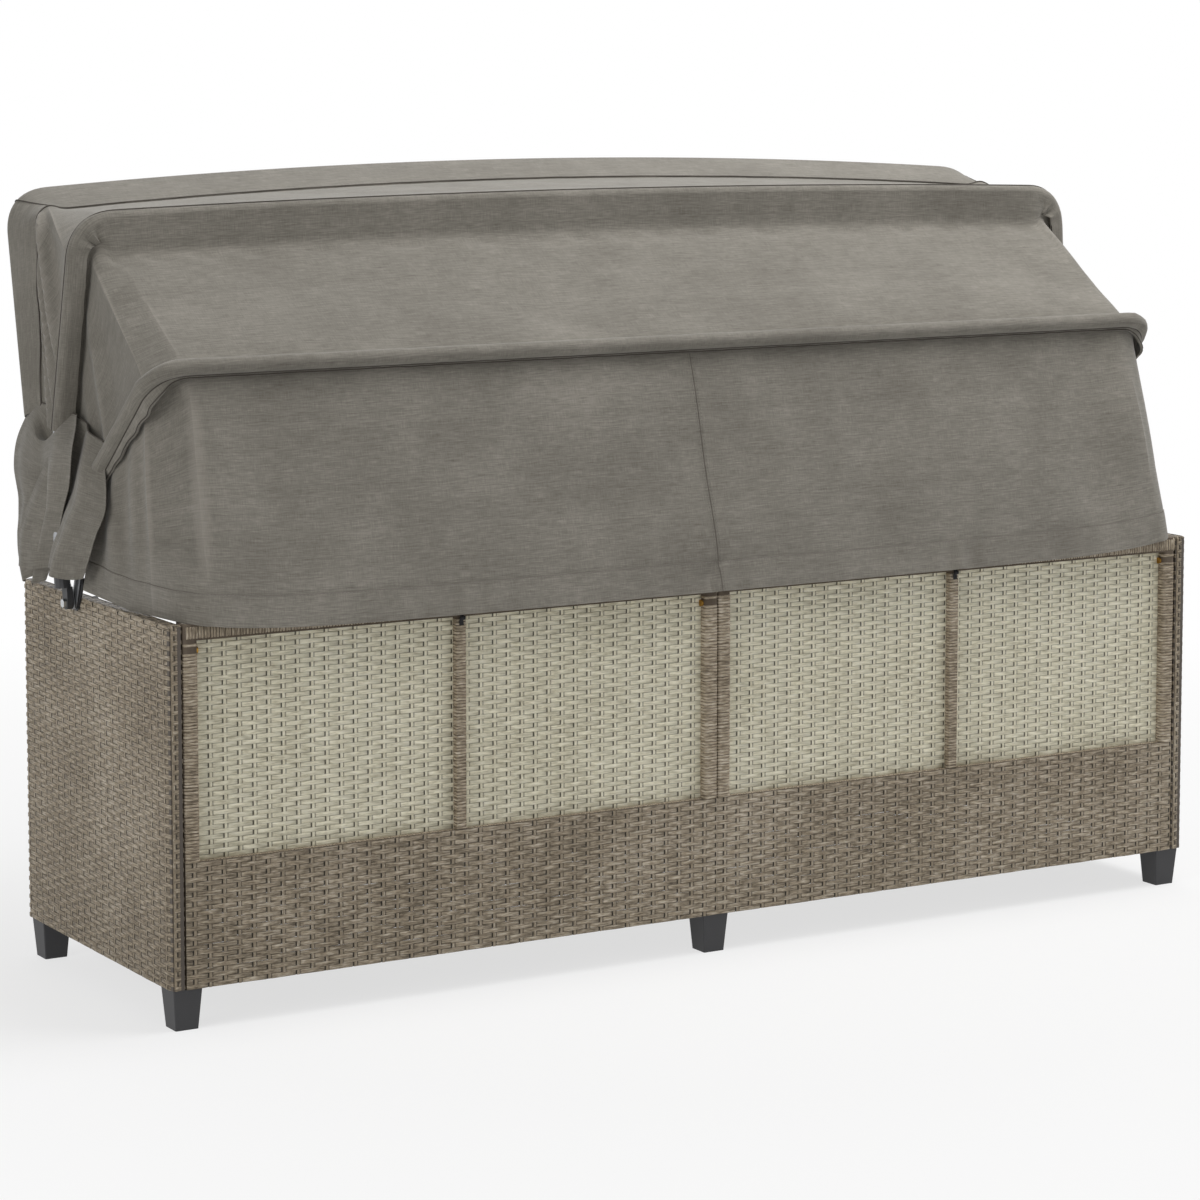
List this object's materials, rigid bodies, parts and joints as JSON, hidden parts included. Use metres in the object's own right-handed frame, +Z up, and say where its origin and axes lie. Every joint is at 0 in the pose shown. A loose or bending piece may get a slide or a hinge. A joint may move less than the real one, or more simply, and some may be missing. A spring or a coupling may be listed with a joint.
{
  "type": "outdoor daybed with folding canopy",
  "caption": "Woven outdoor daybed for sitting or lying, with loose cushions and a folding cloth canopy on hinged bows that arches over the seat.",
  "frame": {"origin": "on the floor under the middle of the whole, canopy included", "axes": "+X along the length towards the sitter's left, -Y towards the side that people sit down from, +Z up"},
  "size_m": [2.0398, 0.6688, 1.2822],
  "materials": {
    "wicker": "brown flat strand, woven, fine streaks",
    "cream_weave": "cream flat strand, woven",
    "deck_weave": "brown flat strand, plain weave",
    "frame_tube": "dark powder coat",
    "cushion_cloth": "grey-beige plain weave, piped seams",
    "canopy_cloth": "grey-brown plain weave",
    "black_tape": "black woven tape",
    "bow_tube": "silver grey satin",
    "black_plastic": "black, slightly rough",
    "black_metal": "black powder coat",
    "side_bar_metal": "grey satin paint",
    "zinc": "bright zinc plate",
    "brass": "yellow zinc, slightly dull"
  },
  "bodies": {
    "base": {"arm_weave_left": "wicker", "arm_weave_right": "wicker", "back_frame_left": "wicker", "back_frame_right": "wicker", "back_skirt_left": "wicker", "back_skirt_right": "wicker", "front_apron_left": "wicker", "front_apron_right": "wicker", "back_panel_left": "cream_weave", "seat_deck_left": "deck_weave", "arm_frame_left": "frame_tube", "seat_frame_left": "frame_tube", "seat_cushion_left": "cushion_cloth", "back_cushion_left": "cushion_cloth", "pivot_bracket_left": "black_metal", "side_bar_left": "side_bar_metal", "pivot_bolt_left": "zinc", "pivot_nut_left": "zinc", "lug_screw_left": "zinc", "hem_tie_left": "black_tape", "back_panel_right": "cream_weave", "seat_deck_right": "deck_weave", "arm_frame_right": "frame_tube", "seat_frame_right": "frame_tube", "seat_cushion_right": "cushion_cloth", "back_cushion_right": "cushion_cloth", "pivot_bracket_right": "black_metal", "side_bar_right": "side_bar_metal", "pivot_bolt_right": "zinc", "pivot_nut_right": "zinc", "lug_screw_right": "zinc", "hem_tie_right": "black_tape", "foot_rear_left": "black_plastic", "foot_rear_middle": "black_plastic", "foot_rear_right": "black_plastic", "foot_front_left": "black_plastic", "foot_front_middle": "black_plastic", "foot_front_right": "black_plastic", "joint_bolt_upper_left": "brass", "joint_bolt_upper_middle": "brass", "joint_bolt_upper_right": "brass", "joint_bolt_lower_left": "brass", "joint_bolt_lower_middle": "brass", "joint_bolt_lower_right": "brass", "drop_cloth": "canopy_cloth"},
    "rear_bow": {"rear_bow_tube": "bow_tube", "rear_sleeve": "canopy_cloth", "back_cloth": "canopy_cloth"},
    "mid_bow": {"mid_bow_tube": "bow_tube", "mid_bow_eye_left": "black_plastic", "mid_bow_eye_right": "black_plastic", "mid_sleeve": "canopy_cloth", "top_cloth": "canopy_cloth", "mid_tail_left": "canopy_cloth", "mid_tail_right": "canopy_cloth"},
    "front_bow": {"front_bow_tube": "bow_tube", "front_pocket": "canopy_cloth", "front_tail_left": "canopy_cloth", "front_tail_right": "canopy_cloth"}
  },
  "joints": [
    {"name": "rear_bow_fold", "type": "hinge", "parent": "base", "child": "rear_bow", "pos_m": [0, -0.0211, 0.613], "axis": [-1, 0, 0], "range_deg": [0, 52], "deforming": ["drop_cloth"]},
    {"name": "mid_bow_fold", "type": "hinge", "parent": "rear_bow", "child": "mid_bow", "pos_m": [0, -0.0211, 0.613], "axis": [-1, 0, 0], "range_deg": [0, 17], "deforming": ["back_cloth", "mid_sleeve", "mid_tail_left", "mid_tail_right"]},
    {"name": "front_bow_fold", "type": "hinge", "parent": "mid_bow", "child": "front_bow", "pos_m": [0, -0.0211, 0.613], "axis": [-1, 0, 0], "range_deg": [0, 14], "deforming": ["top_cloth", "front_pocket", "front_tail_left", "front_tail_right"]}
  ]
}
